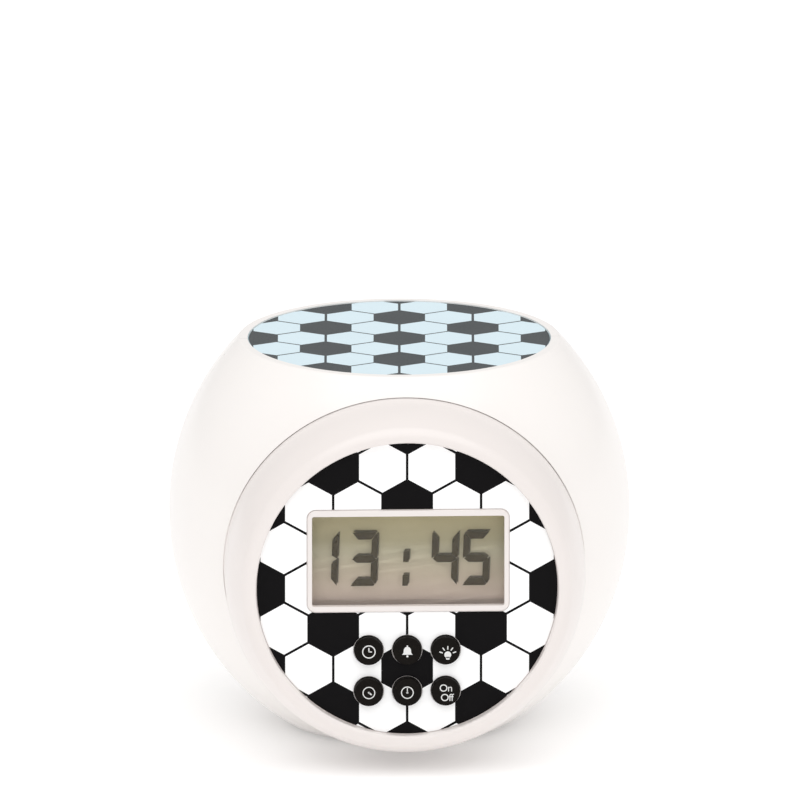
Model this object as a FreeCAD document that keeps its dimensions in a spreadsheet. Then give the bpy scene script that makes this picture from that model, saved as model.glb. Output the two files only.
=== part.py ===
"""Ball shaped projection alarm clock, built from its separate pieces.

Millimetres. X is to the right, Y to the back and Z up; the clock rests on Z = 0.
"""

import FreeCAD
import Part
import Sketcher
import math
import operator
import os

# Driving sizes. Depths are measured forward from the upright axis of the ball.
SIZES = {
    "ball_radius": 65.0,
    "top_cut": 19.5,
    "base_cut": 9.2,
    "wall": 2.2,
    "seam_gap": 0.2,
    "rim_round": 0.8,
    "lens_margin": 2.63,
    "lens_thickness": 1.5,
    "lens_recess": 0.15,
    "film_thickness": 0.25,
    "ledge_width": 2.4,
    "ledge_thickness": 1.6,
    "fit_gap": 0.15,
    "ring_lift": 3.2,
    "ring_top_gap": 1.6,
    "ring_width": 8.3,
    "ring_reach": 68.7,
    "nose_depth": 19.0,
    "nose_radius": 4.0,
    "lip_radius": 42.4,
    "lip_roll": 0.6,
    "skirt_sink": 10.68,
    "cover_gap": 0.2,
    "face_recess": 3.0,
    "face_thickness": 2.0,
    "overlay_thickness": 0.4,
    "overlay_gap": 0.2,
    "display_width": 54.0,
    "display_height": 26.0,
    "display_shift": 0.3,
    "display_raise": 7.9,
    "rim_side": 1.3,
    "rim_top": 1.7,
    "rim_corner": 2.5,
    "rim_proud": 1.1,
    "pane_margin": 1.5,
    "pane_thickness": 1.2,
    "glass_gap": 0.2,
    "glass_thickness": 1.1,
    "glass_side": 2.0,
    "glass_top": 1.5,
    "glass_step": 2.0,
    "strip_width": 1.7,
    "reflector_thickness": 1.0,
    "carrier_wall": 1.6,
    "carrier_depth": 4.3,
    "board_thickness": 1.6,
    "board_gap": 4.5,
    "board_edge": 4.5,
    "board_post_angle": 55.0,
    "board_post_inset": 5.6,
    "board_screw_bite": 4.6,
    "post_radius": 2.6,
    "chip_across": 10.8,
    "chip_radius": 6.0,
    "chip_height": 1.4,
    "crystal_radius": 1.1,
    "crystal_length": 6.0,
    "button_radius": 4.0,
    "button_gap": 0.15,
    "button_proud": 2.0,
    "button_edge": 0.5,
    "button_crown": 0.2,
    "flange_width": 0.9,
    "flange_thickness": 1.3,
    "stem_radius": 1.7,
    "button_travel": 0.5,
    "button_space": 1.0,
    "row_space": 2.1,
    "upper_row": 17.9,
    "switch_side": 6.0,
    "switch_height": 3.5,
    "plunger_proud": 0.8,
    "plunger_gap": 0.25,
    "plunger_seat": 0.9,
    "screw_radius": 1.1,
    "screw_hole": 1.5,
    "pilot_radius": 1.15,
    "head_radius": 2.4,
    "head_flat": 1.7,
    "head_height": 1.4,
    "flange_angle": 45.0,
    "flange_inset": 2.9,
    "flange_rim": 4.4,
    "flange_depth": 2.5,
    "cover_boss_length": 12.0,
    "cover_screw_bite": 8.0,
    "shell_screw_inset": 7.93,
    "shell_screw_drop": 6.7,
    "shell_screw_bite": 8.5,
    "boss_radius": 3.4,
    "well_radius": 3.0,
    "well_floor": 6.0,
    "base_margin": 2.88,
    "base_thickness": 2.4,
    "base_screw_inset": 4.5,
    "base_boss_height": 7.0,
    "foot_radius": 4.0,
    "foot_proud": 1.0,
    "foot_recess": 0.6,
    "foot_inset": 8.5,
    "lamp_post_height": 24.6,
    "lamp_board_radius": 15.0,
    "lamp_post_reach": 11.0,
    "lamp_post_radius": 2.9,
    "lamp_screw_bite": 6.1,
    "lamp_collar": 0.3,
    "lamp_collar_height": 0.8,
    "lamp_radius": 2.5,
    "lamp_length": 7.5,
    "night_lamp_radius": 1.5,
    "night_lamp_length": 4.8,
    "night_lamp_reach": 7.5,
    "speaker_radius": 13.5,
    "speaker_height": 27.0,
    "speaker_gap": 0.73,
    "speaker_lip": 1.5,
    "speaker_sheet": 0.8,
    "basket_depth": 4.0,
    "basket_radius": 8.4,
    "coil_radius": 5.4,
    "magnet_radius": 7.0,
    "magnet_thickness": 3.0,
    "paper_thickness": 0.35,
    "paper_edge": 1.0,
    "dust_radius": 3.2,
    "dust_rise": 0.7,
    "collar_wall": 1.5,
    "collar_length": 6.3,
    "grille_pitch": 4.2,
    "grille_hole": 1.0,
    "cell_radius": 5.25,
    "cell_length": 44.5,
    "cell_nub": 1.1,
    "nub_radius": 1.9,
    "cell_space": 0.5,
    "cell_cover": 13.75,
    "bay_drop": 16.0,
    "bay_wall": 2.0,
    "contact_room": 3.0,
    "contact_plate": 0.4,
    "contact_half": 3.25,
    "contact_button": 2.6,
    "spring_wide": 3.15,
    "spring_narrow": 1.85,
    "door_gap": 0.5,
    "door_seat": 0.4,
    "door_side_lap": 0.75,
    "door_top_lap": 0.65,
    "door_low_lap": 4.35,
    "lobe_radius": 4.6,
    "lobe_rise": 3.7,
    "door_boss_inset": 4.2,
    "door_screw_reach": 6.8,
    "door_screw_gap": 0.45,
    "tab_across": 5.5,
    "tab_half_width": 2.5,
    "tab_inset": 16.8,
    "tab_thickness": 1.5,
    "tab_root": 1.2,
    "tab_hook": 2.5,
    "lead_radius": 0.6,
    "lead_space": 1.6,
    "lead_bend": 6.0,
    "lamp_lead_across": 3.2,
    "lamp_lead_back": 12.2,
    "lamp_lead_rise": 11.0,
    "speaker_lead_drop": 14.0,
    "bay_lead_across": 15.0,
    "bay_lead_drop": 9.0,
}

ARITHMETIC = {"+": operator.add, "-": operator.sub, "*": operator.mul, "/": operator.truediv}

UPRIGHT = FreeCAD.Rotation()
FORWARD = FreeCAD.Rotation(FreeCAD.Vector(1, 0, 0), 90)
BACKWARD = FreeCAD.Rotation(FreeCAD.Vector(1, 0, 0), -90)
SIDEWAYS = FreeCAD.Rotation(FreeCAD.Vector(0, 1, 0), 90)


class Size:
    """A number together with the sheet expression that gives it."""

    def __init__(self, value, text):
        self.value = value
        self.text = text

    def __add__(self, other):
        return joined(self, "+", other)

    def __radd__(self, other):
        return joined(other, "+", self)

    def __sub__(self, other):
        return joined(self, "-", other)

    def __rsub__(self, other):
        return joined(other, "-", self)

    def __mul__(self, other):
        return joined(self, "*", other)

    def __rmul__(self, other):
        return joined(other, "*", self)

    def __truediv__(self, other):
        return joined(self, "/", other)

    def __neg__(self):
        return joined(0, "-", self)


def as_size(item):
    if isinstance(item, Size):
        return item
    return Size(float(item), repr(float(item)))


def joined(first, sign, second):
    first = as_size(first)
    second = as_size(second)
    value = ARITHMETIC[sign](first.value, second.value)
    return Size(value, "(%s %s %s)" % (first.text, sign, second.text))


def root(size):
    return Size(math.sqrt(size.value), "sqrt(%s)" % size.text)


def arc_sine(size):
    return Size(math.degrees(math.asin(size.value)), "asin(%s)" % size.text)


def cosine(degrees):
    degrees = as_size(degrees)
    return Size(math.cos(math.radians(degrees.value)), "cos(%s * 1 deg)" % degrees.text)


def sine(degrees):
    degrees = as_size(degrees)
    return Size(math.sin(math.radians(degrees.value)), "sin(%s * 1 deg)" % degrees.text)


def make_sheet():
    sheet = doc.addObject("Spreadsheet::Sheet", "Sizes")
    for row, (name, value) in enumerate(SIZES.items(), 1):
        sheet.set("A%d" % row, name)
        sheet.set("B%d" % row, str(value))
        sheet.setAlias("B%d" % row, name)
    doc.recompute()
    return sheet


class Dimensions:
    """The cells of the sheet as sizes, one attribute for each alias."""

    def __init__(self, sheet):
        for name in SIZES:
            setattr(self, name, Size(float(sheet.get(name)), "Sizes.%s" % name))


def bind(item, name, size):
    item.setExpression(name, as_size(size).text)


def place(item, spot, turn=UPRIGHT):
    spot = [as_size(part) for part in spot]
    item.Placement = FreeCAD.Placement(FreeCAD.Vector(*[part.value for part in spot]), turn)
    for axis, part in zip("xyz", spot):
        bind(item, "Placement.Base.%s" % axis, part)
    return item


def cylinder(radius, length, spot=(0, 0, 0), turn=UPRIGHT):
    item = doc.addObject("Part::Cylinder", "Cylinder")
    bind(item, "Radius", radius)
    bind(item, "Height", length)
    return place(item, spot, turn)


def cone(near, far, length, spot, turn=UPRIGHT):
    item = doc.addObject("Part::Cone", "Cone")
    bind(item, "Radius1", near)
    bind(item, "Radius2", far)
    bind(item, "Height", length)
    return place(item, spot, turn)


def block(low, high):
    item = doc.addObject("Part::Box", "Block")
    for name, first, last in zip(("Length", "Width", "Height"), low, high):
        bind(item, name, as_size(last) - first)
    return place(item, low)


def spheroid(inset, low, high):
    """The ball's outline shrunk by inset and cut flat at the heights low and high."""
    item = doc.addObject("Part::Ellipsoid", "Spheroid")
    half_height = ball_half_height - inset
    bind(item, "Radius1", half_height)
    bind(item, "Radius2", dim.ball_radius - inset)
    bind(item, "Angle1", arc_sine(low / half_height))
    bind(item, "Angle2", arc_sine(high / half_height))
    return place(item, (0, 0, 0))


def fused(*items):
    item = doc.addObject("Part::MultiFuse", "Fused")
    item.Shapes = list(items)
    return item


def common(*items):
    item = doc.addObject("Part::MultiCommon", "Common")
    item.Shapes = list(items)
    return item


def cut(base, *tools):
    item = doc.addObject("Part::Cut", "Cut")
    item.Base = base
    item.Tool = tools[0] if len(tools) == 1 else fused(*tools)
    return item


def rounded(base, radius, is_wanted):
    """Round the edges of base that is_wanted picks out."""
    doc.recompute()
    item = doc.addObject("Part::Fillet", "Rounded")
    item.Base = base
    chosen = [number for number, edge in enumerate(base.Shape.Edges, 1) if is_wanted(edge)]
    item.Edges = [(number, radius.value, radius.value) for number in chosen]
    return item


def arc_between(first, last, radius):
    """The short arc from first to last; a positive radius turns left on the way."""
    chord = last - first
    height = math.sqrt(max(radius * radius - chord.Length ** 2 / 4, 0))
    left = FreeCAD.Vector(-chord.y, chord.x, 0).normalize()
    centre = (first + last) * 0.5 + left * math.copysign(height, radius)
    start, end = (first, last) if radius > 0 else (last, first)
    angles = [math.atan2(tip.y - centre.y, tip.x - centre.x) for tip in (start, end)]
    circle = Part.Circle(centre, FreeCAD.Vector(0, 0, 1), abs(radius))
    return Part.ArcOfCircle(circle, angles[0], angles[1])


def draw_outline(body, role, outline):
    """Draw a closed outline of (across, up) or (across, up, radius of the arc to the next)."""
    sketch = body.newObject("Sketcher::SketchObject", "Sketch")
    plane = [item for item in body.Origin.OriginFeatures if item.Role == role][0]
    sketch.AttachmentSupport = [(plane, "")]
    sketch.MapMode = "FlatFace"
    spots = [(as_size(spot[0]), as_size(spot[1])) for spot in outline]
    corners = [FreeCAD.Vector(across.value, up.value, 0) for across, up in spots]
    ends = []
    for number, spot in enumerate(outline):
        first = corners[number]
        last = corners[(number + 1) % len(corners)]
        if len(spot) == 2:
            sketch.addGeometry(Part.LineSegment(first, last), False)
            ends.append((1, 2))
        else:
            sketch.addGeometry(arc_between(first, last, spot[2].value), False)
            ends.append((1, 2) if spot[2].value > 0 else (2, 1))
            turn = sketch.addConstraint(Sketcher.Constraint("Radius", number, abs(spot[2].value)))
            sign = 1 if spot[2].value > 0 else -1
            bind(sketch, "Constraints[%d]" % turn, spot[2] * sign)
    for number, (across, up) in enumerate(spots):
        before = number - 1 if number else len(spots) - 1
        start = ends[number][0]
        sketch.addConstraint(Sketcher.Constraint("Coincident", before, ends[before][1], number, start))
        for kind, size in (("DistanceX", across), ("DistanceY", up)):
            held = sketch.addConstraint(Sketcher.Constraint(kind, -1, 1, number, start, size.value))
            bind(sketch, "Constraints[%d]" % held, size)
    return sketch


def turned(outline):
    """A body made by turning an outline of (radius, height) about the upright axis."""
    body = doc.addObject("PartDesign::Body", "Turned")
    sketch = draw_outline(body, "XZ_Plane", outline)
    feature = body.newObject("PartDesign::Revolution", "Revolution")
    feature.Profile = sketch
    feature.ReferenceAxis = (sketch, ["V_Axis"])
    feature.Angle = 360
    body.Tip = feature
    return body


def plate(width, height, corner, thickness, spot=(0, 0, 0)):
    """A flat plate with round corners, centred on spot and rising from it."""
    body = doc.addObject("PartDesign::Body", "Plate")
    across = width / 2
    up = height / 2
    near = across - corner
    low = up - corner
    outline = [
        (-near, -up), (near, -up, corner), (across, -low), (across, low, corner),
        (near, up), (-near, up, corner), (-across, low), (-across, -low, corner),
    ]
    sketch = draw_outline(body, "XY_Plane", outline)
    feature = body.newObject("PartDesign::Pad", "Pad")
    feature.Profile = sketch
    bind(feature, "Length", thickness)
    body.Tip = feature
    return place(body, spot)


def named(item, label, spot=None, turn=UPRIGHT):
    """Give a finished piece its name and stand it in its place."""
    item.Label = label
    place(item, spot or ball_centre, turn)
    pieces.append(item)
    return item


def on_face(item, label):
    return named(item, label, face_centre, FORWARD)


def face_point(across, up, depth):
    """The place of a point given from the face's centre and its depth from the ball's axis."""
    return (as_size(across), ball_y - depth, face_z + up)


def ball_point(across, back, up):
    return (as_size(across), ball_y + back, ball_z + up)


def screw(spot, length, turn=UPRIGHT):
    """A pan head screw whose head stands behind spot and whose shank runs ahead of it."""
    outline = [
        (0, -dim.head_height), (dim.head_flat, -dim.head_height, dim.head_height),
        (dim.head_radius, 0), (dim.screw_radius, 0), (dim.screw_radius, length), (0, length),
    ]
    return place(turned(outline), spot, turn)


def sides(across):
    return (-across, across)


def around(reach, angles):
    return [(reach * cosine(angle), reach * sine(angle)) for angle in angles]


def button_spots():
    rows = (-dim.upper_row, -lower_row)
    return [(button_pitch * column, row) for row in rows for column in (-1, 0, 1)]


def diagonals(reach, angle):
    """Four places at one reach, the same angle above and below the level on each side."""
    return around(reach, (angle, 180 - angle, 180 + angle, 360 - angle))


def board_post_spots():
    return diagonals(board_radius - dim.board_post_inset, dim.board_post_angle)


def cover_screw_spots():
    """Where the cover's bosses stand, just inside its skirt."""
    return diagonals(cover_screw_reach, dim.flange_angle)


def base_screw_spots():
    return diagonals(base_radius - dim.base_screw_inset, 45)


def foot_spots():
    return around(base_radius - dim.foot_inset, (0, 90, 180, 270))


def lamp_post_spots():
    return around(dim.lamp_post_reach, (90, 210, 330))


def grille_spots():
    """Nineteen holes in three rings on a triangular grid."""
    spots = []
    for row in range(-2, 3):
        count = 5 - abs(row)
        for step in range(count):
            across = (step - (count - 1) / 2) * dim.grille_pitch
            spots.append((across, dim.speaker_height + dim.grille_pitch * row * math.sqrt(0.75)))
    return spots


def ball_side(height, inset=0):
    """The ball's radius at a height above or below its centre, or of its outline shrunk by inset."""
    share = as_size(height) / (ball_half_height - inset)
    return (dim.ball_radius - inset) * root(1 - share * share)


def hollow_ball():
    """Both casing halves in one, with the lens rebate above and the base rebate below."""
    outer = spheroid(as_size(0), -base_depth, top_height)
    outer = rounded(outer, dim.rim_round, lambda edge: edge.Curve.TypeId != "Part::GeomLine"
                    and edge.BoundBox.ZLength < 0.01)
    inner = spheroid(dim.wall, -base_floor_top, deck_bottom)
    inner_hole = cylinder(base_radius - dim.ledge_width, base_depth, (0, 0, -base_depth))
    return outer, cut(outer, inner, lens_rebate(), base_rebate(), inner_hole)


def lens_rebate():
    """The seat of the film and lens, and below its ledge the way for the light."""
    seat = cylinder(lens_radius + dim.fit_gap, top_height, (0, 0, lens_ledge))
    return fused(seat, cylinder(lens_radius - dim.ledge_width, top_height))


def base_rebate():
    return cylinder(base_radius + dim.fit_gap, base_depth + base_ledge, (0, 0, -base_depth))


def half_space(side):
    """A block that holds one half of the ball, from the seam outward."""
    reach = dim.ball_radius + dim.wall
    low = dim.seam_gap / 2
    height = ball_half_height + dim.wall
    if side > 0:
        return block((-reach, low, -height), (reach, reach, height))
    return block((-reach, -reach, -height), (reach, -low, height))


def base_bosses(side):
    """Two screw bosses beside the ledge that carries the base plate, on one half."""
    spots = [spot for spot in base_screw_spots() if spot[1].value * side > 0]
    bosses = [cylinder(dim.boss_radius, dim.base_boss_height, (x, y, base_ledge)) for x, y in spots]
    pilots = [cylinder(dim.pilot_radius, dim.base_boss_height - dim.pilot_radius, (x, y, base_ledge))
              for x, y in spots]
    return bosses, pilots


def front_shell():
    """The front half: its mouth, and behind it the flange for the cover, open where the light passes."""
    bosses, pilots = base_bosses(-1)
    for x in sides(shell_screw_across):
        spot = (x, -dim.seam_gap / 2, shell_screw_up)
        bosses.append(common(cylinder(dim.boss_radius, dim.ball_radius, spot, FORWARD), ball_outer))
        pilots.append(cylinder(dim.pilot_radius, dim.shell_screw_bite + dim.boss_radius, spot, FORWARD))
    spot = (0, -flange_back, -ring_drop)
    flange = cylinder(dim.ball_radius, dim.flange_depth, spot, FORWARD)
    opening = cylinder(cover_screw_reach - dim.flange_rim, dim.flange_depth, spot, FORWARD)
    bosses.append(cut(common(flange, ball_outer), opening))
    for x, up in cover_screw_spots():
        pilots.append(cylinder(dim.screw_hole, dim.flange_depth, (x, -flange_back, up - ring_drop), FORWARD))
    mouth = cylinder(ring_radius + dim.cover_gap, dim.ball_radius,
                     (0, -skirt_back + dim.cover_gap, -ring_drop), FORWARD)
    whole = fused(common(ball_shell, half_space(-1)), *bosses)
    named(cut(whole, mouth, lens_rebate(), base_rebate(), *pilots), "front_shell")


def rear_shell():
    additions, holes = base_bosses(1)
    for x in sides(shell_screw_across):
        spot = (x, dim.seam_gap / 2, shell_screw_up)
        well = dim.well_radius + dim.collar_wall
        additions.append(common(cylinder(well, dim.ball_radius, spot, BACKWARD), ball_outer))
        holes.append(cylinder(dim.screw_hole, dim.ball_radius, (x, 0, shell_screw_up), BACKWARD))
        holes.append(cylinder(dim.well_radius, dim.ball_radius, (x, dim.well_floor, shell_screw_up),
                              BACKWARD))
    collar_spot = (0, speaker_depth - dim.collar_length, dim.speaker_height)
    collar_radius = dim.speaker_radius + dim.cover_gap
    collar = cylinder(collar_radius + dim.collar_wall, dim.ball_radius, collar_spot, BACKWARD)
    room = cylinder(collar_radius, dim.ball_radius, collar_spot, BACKWARD)
    additions.append(common(collar, ball_outer))
    holes.append(common(room, ball_inner))
    for x, z in grille_spots():
        holes.append(cylinder(dim.grille_hole, dim.ball_radius, (x, speaker_depth, z), BACKWARD))
    walls = block((-bay_half_width - dim.bay_wall, bay_floor - dim.bay_wall, bay_low - dim.bay_wall),
                  (bay_half_width + dim.bay_wall, dim.ball_radius, bay_high + dim.bay_wall))
    room = block((-bay_half_width, bay_floor, bay_low), (bay_half_width, dim.ball_radius, bay_high))
    screw_boss = cylinder(dim.boss_radius, dim.ball_radius - bay_floor, (0, bay_floor, lobe_up), BACKWARD)
    additions.append(common(walls, ball_outer))
    additions.append(common(screw_boss, ball_outer))
    holes.append(room)
    holes.append(door_pocket())
    holes.append(cylinder(dim.screw_radius + dim.door_screw_gap, dim.ball_radius,
                          (0, door_screw_tip - dim.screw_radius, lobe_up), BACKWARD))
    whole = fused(common(ball_shell, half_space(1)), *additions)
    named(cut(whole, *holes), "rear_shell")


def door_blank(gap):
    """The upright outline of the battery door, grown all round by gap."""
    wide = bay_half_width + dim.door_side_lap + gap
    lobe = dim.lobe_radius + gap
    panel = block((-wide, 0, door_low - gap), (wide, dim.ball_radius, door_top + gap))
    neck = block((-lobe, 0, bay_low), (lobe, dim.ball_radius, lobe_up))
    round_end = cylinder(lobe, dim.ball_radius, (0, 0, lobe_up), BACKWARD)
    return fused(panel, neck, round_end)


def door_pocket():
    """What the casing loses for the door: its outline, down to just under the door's inside."""
    bed = spheroid(dim.wall + dim.door_seat, -base_depth + dim.wall, top_height)
    boss_room = cylinder(dim.lobe_radius, dim.ball_radius, (0, door_boss_depth - dim.door_seat, lobe_up),
                         BACKWARD)
    return fused(cut(door_blank(dim.door_gap), bed), boss_room)


def battery_door():
    """A curved lid with a screw lobe above and two hooks below, which reach behind the casing."""
    skin = cut(common(door_blank(as_size(0)), ball_outer), ball_inner)
    boss = cylinder(dim.lobe_radius - dim.door_gap, dim.ball_radius, (0, door_boss_depth, lobe_up), BACKWARD)
    parts = [skin, common(boss, ball_outer)]
    tab_depth = dim.ball_radius - dim.tab_inset
    for x in sides(dim.tab_across):
        near = x - dim.tab_half_width
        far = x + dim.tab_half_width
        top = door_low + dim.tab_root
        root_block = block((near, tab_depth, door_low), (far, dim.ball_radius, top))
        parts.append(common(root_block, ball_outer))
        parts.append(block((near, tab_depth, door_low - dim.tab_hook),
                           (far, tab_depth + dim.tab_thickness, top)))
    head_seat = cylinder(dim.head_radius + dim.cover_gap, dim.ball_radius, (0, door_head_seat, lobe_up),
                         BACKWARD)
    shank_hole = cylinder(dim.screw_hole, dim.ball_radius, (0, 0, lobe_up), BACKWARD)
    named(cut(fused(*parts), head_seat, shank_hole), "battery_door")


def battery_door_screw():
    spot = ball_point(0, door_head_seat, lobe_up)
    named(screw((0, 0, 0), door_head_seat - door_screw_tip), "battery_door_screw", spot, FORWARD)


def shell_screws():
    length = dim.well_floor + dim.shell_screw_bite
    spots = [(x, dim.well_floor, shell_screw_up) for x in sides(shell_screw_across)]
    named(fused(*[screw(spot, length, FORWARD) for spot in spots]), "shell_screws")


def front_cover():
    """The ring and the face floor in one moulding, with its posts, bosses and display rim."""
    crest = dim.lip_radius + dim.lip_roll
    nose_start = dim.ring_reach - dim.nose_depth
    long_axis = dim.nose_depth
    short_axis = ring_radius - crest
    tip = dim.nose_radius
    side = (long_axis * long_axis - long_axis * tip * 2 + short_axis * short_axis) / ((short_axis - tip) * 2)
    run = long_axis - tip
    rise = side - short_axis
    meet = (crest + tip * rise / (side - tip), nose_start + run + tip * run / (side - tip))
    inside = side - dim.wall
    depth = face_back - nose_start
    floor_edge = crest - rise + root(inside * inside - depth * depth)
    outline = [
        (0, face_back), (floor_edge, face_back, -inside), (ring_radius - dim.wall, nose_start),
        (ring_radius - dim.wall, skirt_back), (ring_radius, skirt_back),
        (ring_radius, nose_start, side), (meet[0], meet[1], tip),
        (crest, dim.ring_reach, dim.lip_roll), (dim.lip_radius, dim.ring_reach - dim.lip_roll),
        (dim.lip_radius, face_depth), (0, face_depth),
    ]
    rim_spot = (dim.display_shift, dim.display_raise, face_depth - dim.overlay_thickness)
    rim = plate(rim_width, rim_height, dim.rim_corner, dim.rim_proud + dim.overlay_thickness, rim_spot)
    top = face_depth + dim.rim_proud
    rim = rounded(rim, dim.overlay_thickness, lambda edge: edge.BoundBox.ZMin > top.value - 0.01)
    parts = [turned(outline), rim]
    holes = []
    for x, y in board_post_spots():
        parts.append(cylinder(dim.post_radius, face_back - board_depth, (x, y, board_depth)))
        holes.append(cylinder(dim.pilot_radius, dim.board_screw_bite + dim.pilot_radius, (x, y, board_depth)))
    for x, y in cover_screw_spots():
        parts.append(cylinder(dim.boss_radius, dim.cover_boss_length, (x, y, skirt_back)))
        holes.append(cylinder(dim.pilot_radius, dim.cover_screw_bite + dim.pilot_radius, (x, y, skirt_back)))
    for x, y in button_spots():
        holes.append(cylinder(button_hole, dim.face_thickness, (x, y, face_back)))
    holes.append(plate(dim.display_width, dim.display_height, dim.lip_roll, dim.rim_proud * 4,
                       (dim.display_shift, dim.display_raise, face_back)))
    holes.append(display_block(pane_width + dim.glass_gap * 2, pane_height + dim.glass_gap * 2,
                               face_back, face_back + dim.pane_thickness))
    on_face(cut(fused(*parts), *holes), "front_cover")


def display_block(width, height, low, high):
    """A block centred on the display, between two depths."""
    x = dim.display_shift
    y = dim.display_raise
    return block((x - width / 2, y - height / 2, low), (x + width / 2, y + height / 2, high))


def face_overlay():
    sheet = cylinder(dim.lip_radius - dim.overlay_gap, dim.overlay_thickness, (0, 0, face_depth))
    window = plate(rim_width + dim.overlay_gap * 2, rim_height + dim.overlay_gap * 2, dim.rim_corner,
                   dim.overlay_thickness, (dim.display_shift, dim.display_raise, face_depth))
    holes = [cylinder(button_hole + dim.overlay_gap, dim.overlay_thickness, (x, y, face_depth))
             for x, y in button_spots()]
    on_face(cut(sheet, window, *holes), "face_overlay")


def display_window():
    pane = plate(pane_width, pane_height, dim.lip_roll, dim.pane_thickness)
    spot = face_point(dim.display_shift, dim.display_raise, face_back)
    named(pane, "display_window", spot, FORWARD)


def lcd_glass():
    front = display_block(glass_width, glass_front_height, glass_middle, glass_front)
    rear = display_block(glass_width, glass_rear_height, glass_back, glass_middle)
    on_face(fused(front, rear), "lcd_glass")


def lcd_reflector():
    height = glass_rear_height - dim.glass_gap * 2
    sheet = block((0, 0, 0), (glass_width, height, dim.reflector_thickness))
    spot = face_point(dim.display_shift - glass_width / 2, dim.display_raise - height / 2, reflector_back)
    named(sheet, "lcd_reflector", spot, FORWARD)


def lcd_carrier():
    height = glass_rear_height - dim.glass_gap * 2
    outside = display_block(glass_width, height, board_depth, reflector_back)
    inside = display_block(glass_width - dim.carrier_wall * 2, height - dim.carrier_wall * 2,
                           board_depth, reflector_back)
    on_face(cut(outside, inside), "lcd_carrier")


def lcd_zebra_strips():
    x = dim.display_shift
    half = glass_width / 2 - dim.carrier_wall
    edge = glass_rear_height / 2 + dim.glass_gap
    strips = []
    for low in (dim.display_raise + edge, dim.display_raise - edge - dim.strip_width):
        strips.append(block((x - half, low, board_depth),
                            (x + half, low + dim.strip_width, glass_middle)))
    on_face(fused(*strips), "lcd_zebra_strips")


def main_board():
    disc = cylinder(board_radius, dim.board_thickness, (0, 0, board_back))
    flats = block((-board_radius, -board_half_height, board_back),
                  (board_radius, board_half_height, board_depth))
    holes = [cylinder(dim.screw_hole, dim.board_thickness, (x, y, board_back)) for x, y in board_post_spots()]
    on_face(cut(common(disc, flats), *holes), "main_board")


def board_screws():
    length = dim.board_thickness + dim.board_screw_bite
    on_face(fused(*[screw((x, y, board_back), length) for x, y in board_post_spots()]), "board_screws")


def board_chip():
    """The clock's chip under its domed drop of black resin."""
    radius = dim.chip_radius
    height = dim.chip_height
    outline = [(0, -height, (radius * radius / height + height) / 2), (radius, 0), (0, 0)]
    named(turned(outline), "board_chip", face_point(-dim.chip_across, dim.display_raise, board_back), FORWARD)


def board_crystal():
    spot = face_point(dim.chip_across, dim.display_raise, board_back - dim.crystal_radius)
    named(cylinder(dim.crystal_radius, dim.crystal_length), "board_crystal", spot, SIDEWAYS)


def tact_switches():
    cases = []
    half = dim.switch_side / 2
    for x, y in button_spots():
        case = block((x - half, y - half, board_depth), (x + half, y + half, switch_front))
        well = cylinder(dim.stem_radius + dim.plunger_gap, plunger_well, (x, y, switch_front - plunger_well))
        cases.append(cut(case, well))
    on_face(fused(*cases), "tact_switches")


def buttons():
    """Six push buttons, each with the plunger of the switch behind it."""
    front = face_depth + dim.overlay_thickness + dim.button_proud
    flange_front = face_back - dim.cover_gap
    flange_back = flange_front - dim.flange_thickness
    flat = dim.button_radius - dim.button_edge
    crown = (flat * flat / dim.button_crown + dim.button_crown) / 2
    names = ("time", "alarm", "light", "hour", "minute", "power")
    for name, (x, y) in zip(names, button_spots()):
        outline = [
            (0, plunger_front), (dim.stem_radius, plunger_front), (dim.stem_radius, flange_back),
            (button_flange, flange_back), (button_flange, flange_front),
            (dim.button_radius, flange_front), (dim.button_radius, front - dim.button_edge, dim.button_edge),
            (flat, front, crown), (0, front + dim.button_crown),
        ]
        spot = face_point(x, y, 0)
        named(turned(outline), "%s_button" % name, spot, FORWARD)
        length = dim.plunger_proud + dim.plunger_seat
        spot = face_point(x, y, plunger_front - length)
        named(cylinder(dim.stem_radius, length), "%s_plunger" % name, spot, FORWARD)


def cover_screws():
    length = skirt_back - flange_back + dim.cover_screw_bite
    on_face(fused(*[screw((x, y, flange_back), length) for x, y in cover_screw_spots()]), "cover_screws")


def base_plate():
    parts = [cylinder(base_radius, dim.base_thickness, (0, 0, -base_depth))]
    holes = []
    for x, y in lamp_post_spots():
        parts.append(cylinder(dim.lamp_post_radius, lamp_board_low - base_ledge, (x, y, base_ledge)))
        depth = dim.lamp_screw_bite + dim.pilot_radius
        holes.append(cylinder(dim.pilot_radius, depth, (x, y, lamp_board_low - depth)))
    for x, y in base_screw_spots():
        holes.append(cylinder(dim.screw_hole, dim.base_thickness, (x, y, -base_depth)))
        holes.append(cylinder(dim.head_radius + dim.cover_gap, dim.head_height, (x, y, -base_depth)))
    for x, y in foot_spots():
        holes.append(cylinder(dim.foot_radius + dim.fit_gap, dim.foot_recess, (x, y, -base_depth)))
    named(cut(fused(*parts), *holes), "base_plate")


def base_screws():
    length = dim.base_boss_height - dim.head_height
    low = dim.head_height - base_depth
    spots = [(x, y, low) for x, y in base_screw_spots()]
    named(fused(*[screw(spot, length) for spot in spots]), "base_screws")


def base_feet():
    """Four rubber discs with a rounded lower edge, set into the base plate."""
    edge = dim.foot_recess
    height = dim.foot_proud + dim.foot_recess
    outline = [
        (0, 0), (dim.foot_radius - edge, 0, edge), (dim.foot_radius, edge),
        (dim.foot_radius, height), (0, height),
    ]
    low = -base_depth - dim.foot_proud
    feet = [place(turned(outline), (x, y, low)) for x, y in foot_spots()]
    named(fused(*feet), "base_feet")


def lamp_board():
    disc = cylinder(dim.lamp_board_radius, dim.board_thickness, (0, 0, lamp_board_low))
    holes = [cylinder(dim.screw_hole, dim.board_thickness, (x, y, lamp_board_low))
             for x, y in lamp_post_spots()]
    named(cut(disc, *holes), "lamp_board")


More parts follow.
